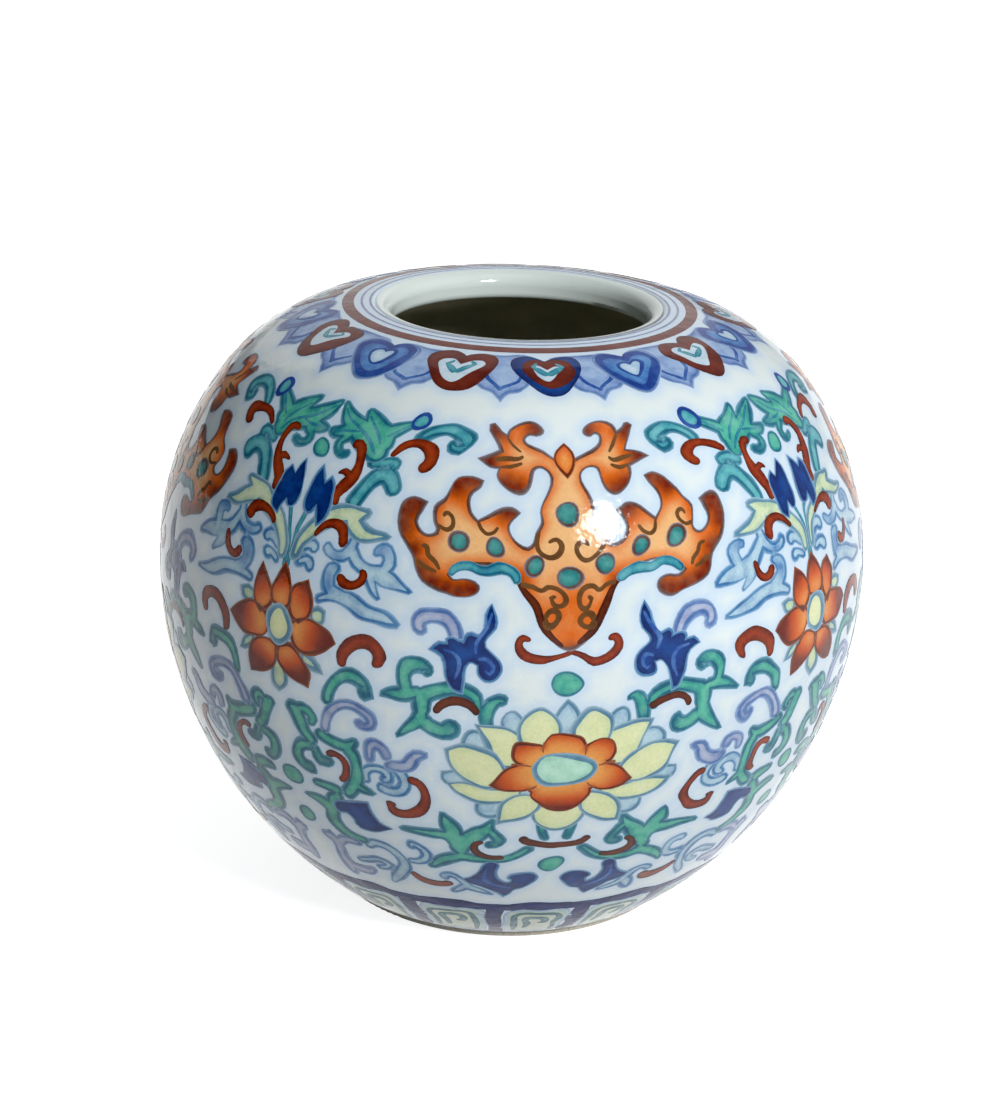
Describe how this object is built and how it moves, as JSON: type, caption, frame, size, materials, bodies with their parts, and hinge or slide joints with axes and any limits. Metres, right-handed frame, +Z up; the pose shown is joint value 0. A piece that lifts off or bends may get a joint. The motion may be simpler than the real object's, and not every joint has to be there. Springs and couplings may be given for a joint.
{
  "type": "porcelain water coupe",
  "caption": "Apple-shaped porcelain water pot with a small thick-lipped mouth, a low foot ring and painted enamel bats, lotus scrolls and a ruyi collar.",
  "frame": {"origin": "centre of the foot ring's resting face", "axes": "+Z up along the axis of the pot, -Y towards the front, where a bat is painted"},
  "size_m": [0.092, 0.092, 0.0784],
  "materials": {
    "biscuit_porcelain": "unglazed, finely smoothed",
    "white_porcelain": "fired body under glaze",
    "porcelain_slip": "fired slip under glaze",
    "clear_glaze": "glossy, bluish white"
  },
  "bodies": {
    "root": {"foot_ring": "biscuit_porcelain", "lower_body": "white_porcelain", "luting_seam": "porcelain_slip", "upper_body": "white_porcelain", "mouth_rim": "white_porcelain", "outer_glaze": "clear_glaze", "inner_glaze": "clear_glaze", "base_glaze": "clear_glaze"}
  },
  "joints": []
}
